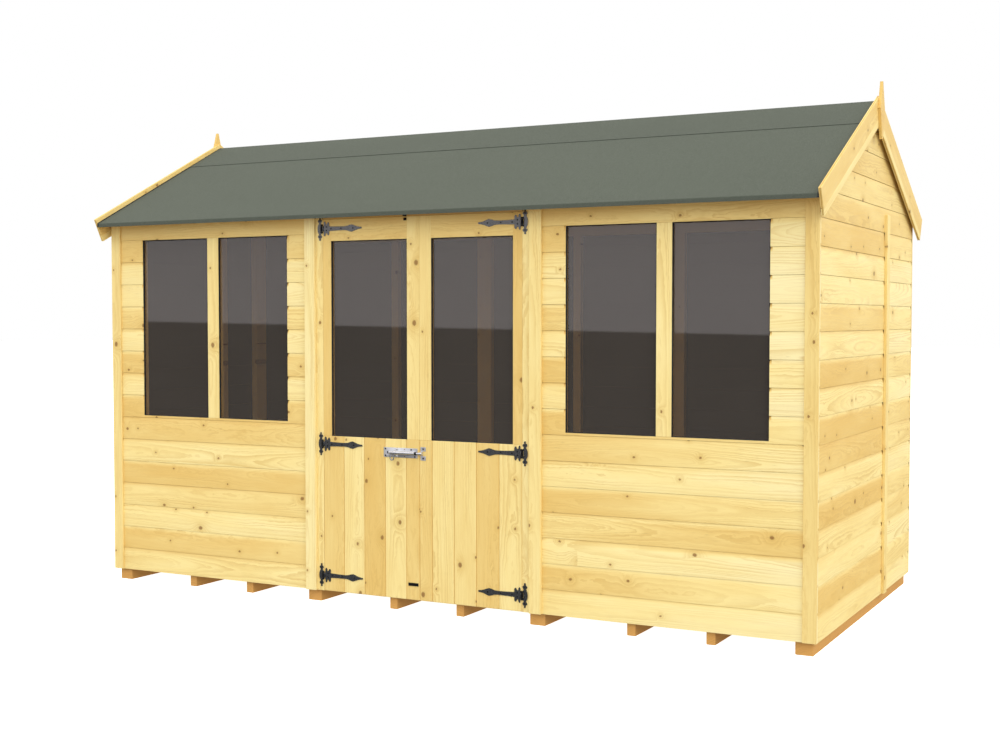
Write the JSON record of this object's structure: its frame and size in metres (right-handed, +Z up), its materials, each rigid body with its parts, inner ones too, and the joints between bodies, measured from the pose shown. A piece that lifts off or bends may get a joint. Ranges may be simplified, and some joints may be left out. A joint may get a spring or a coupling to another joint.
{
  "type": "timber summer house",
  "caption": "Small timber summer house with an apex felt roof, side windows and a pair of glazed doors held by a sliding bolt.",
  "frame": {"origin": "middle of the footprint at ground level, under the bearers", "axes": "+X along the front wall, to the right as seen from in front of the doors; +Y from the front to the back; +Z up"},
  "size_m": [3.682, 1.94, 2.3562],
  "materials": {
    "cladding": "pale yellow treated softwood boards",
    "frame": "planed softwood framing",
    "bearer": "brown treated softwood",
    "floor": "softwood floor boards",
    "deck": "softwood roof boards",
    "felt": "green grey mineral roofing felt",
    "glass": "clear flat glazing",
    "black_iron": "black painted steel",
    "zinc": "zinc plated steel"
  },
  "bodies": {
    "building": {"bearers": "bearer", "floor": "floor", "front_cladding_left": "cladding", "front_cladding_right": "cladding", "back_cladding": "cladding", "gable_cladding_left": "cladding", "gable_cladding_right": "cladding", "front_studs": "frame", "front_rails": "frame", "back_studs": "frame", "back_rails": "frame", "gable_studs": "frame", "gable_rails": "frame", "window_mullions": "cladding", "window_glass": "glass", "door_posts": "cladding", "door_head": "cladding", "corner_trims": "cladding", "front_strips": "cladding", "back_strips": "cladding", "gable_strips": "cladding", "roof_rails": "frame", "roof_deck_front": "deck", "roof_deck_back": "deck", "felt_front": "felt", "felt_back": "felt", "felt_ridge": "felt", "bargeboards_left": "cladding", "bargeboards_right": "cladding", "finials": "cladding", "hinge_plates": "black_iron", "head_keep": "black_iron"},
    "door_left": {"door_left_boards": "cladding", "door_left_frame": "frame", "door_left_glass": "glass", "hinge_straps_left": "black_iron", "bolt_plate": "zinc", "head_catch": "black_iron", "kick_plate": "black_iron"},
    "door_right": {"door_right_boards": "cladding", "door_right_frame": "frame", "door_right_glass": "glass", "hinge_straps_right": "black_iron", "bolt_keep": "zinc"},
    "bolt": {"bolt_bar": "zinc"}
  },
  "joints": [
    {"name": "door_left_hinge", "type": "hinge", "parent": "building", "child": "door_left", "pos_m": [-0.51825, -0.8765, 0.9], "axis": [0, 0, -1], "range_deg": [0, 160]},
    {"name": "door_right_hinge", "type": "hinge", "parent": "building", "child": "door_right", "pos_m": [0.51825, -0.8765, 0.9], "axis": [0, 0, 1], "range_deg": [0, 160]},
    {"name": "bolt_slide", "type": "slide", "parent": "door_left", "child": "bolt", "axis": [-1, 0, 0], "range_m": [0, 0.045]}
  ]
}
